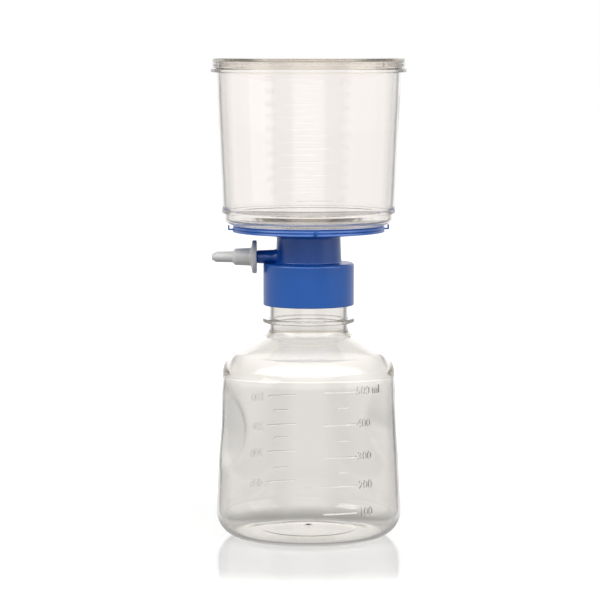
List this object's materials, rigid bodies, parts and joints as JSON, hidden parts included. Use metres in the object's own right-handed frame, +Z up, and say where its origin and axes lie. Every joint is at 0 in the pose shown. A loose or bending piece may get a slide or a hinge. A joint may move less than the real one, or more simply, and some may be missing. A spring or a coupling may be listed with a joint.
{
  "type": "vacuum filtration unit",
  "caption": "Clear filter chamber with lid on a blue support that screws on to a clear receiver bottle, with a vacuum side arm and push-on tubing adapter.",
  "frame": {"origin": "centre of the receiver bottle's foot, on the surface that it stands on", "axes": "+Z up along the bottle's axis; the vacuum side arm and its tubing adapter point along -X; the front scale faces -Y"},
  "size_m": [0.1062, 0.1062, 0.2612],
  "materials": {
    "bottle_clear": "clear polystyrene, glossy",
    "chamber_clear": "clear polystyrene, glossy",
    "lid_clear": "clear polystyrene, glossy",
    "blue_plastic": "moulded blue plastic, satin gloss",
    "natural_plastic": "translucent natural polyethylene",
    "membrane_white": "matt white membrane",
    "gasket_foam": "soft white ring",
    "plug_fibre": "white fibre plug"
  },
  "bodies": {
    "receiver": {"receiver_bottle": "bottle_clear"},
    "seal": {"neck_gasket": "gasket_foam"},
    "filter_head": {"support_base": "blue_plastic", "port_plug": "plug_fibre", "membrane": "membrane_white", "upper_chamber": "chamber_clear", "lid": "lid_clear"},
    "adapter": {"tubing_adapter": "natural_plastic"}
  },
  "joints": [
    {"name": "head_rise", "type": "slide", "parent": "receiver", "child": "seal", "axis": [0, 0, 1], "range_m": [0, 0.0101]},
    {"name": "head_turn", "type": "hinge", "parent": "seal", "child": "filter_head", "pos_m": [0, 0, 0.137], "axis": [0, 0, 1], "range_deg": [0, 900]},
    {"name": "adapter_pull", "type": "slide", "parent": "filter_head", "child": "adapter", "axis": [-1, 0, 0], "range_m": [0, 0.015]}
  ],
  "couplings": [
    {"joint": "head_rise", "follows": "head_turn", "m_per_rad": 0.00063662}
  ]
}
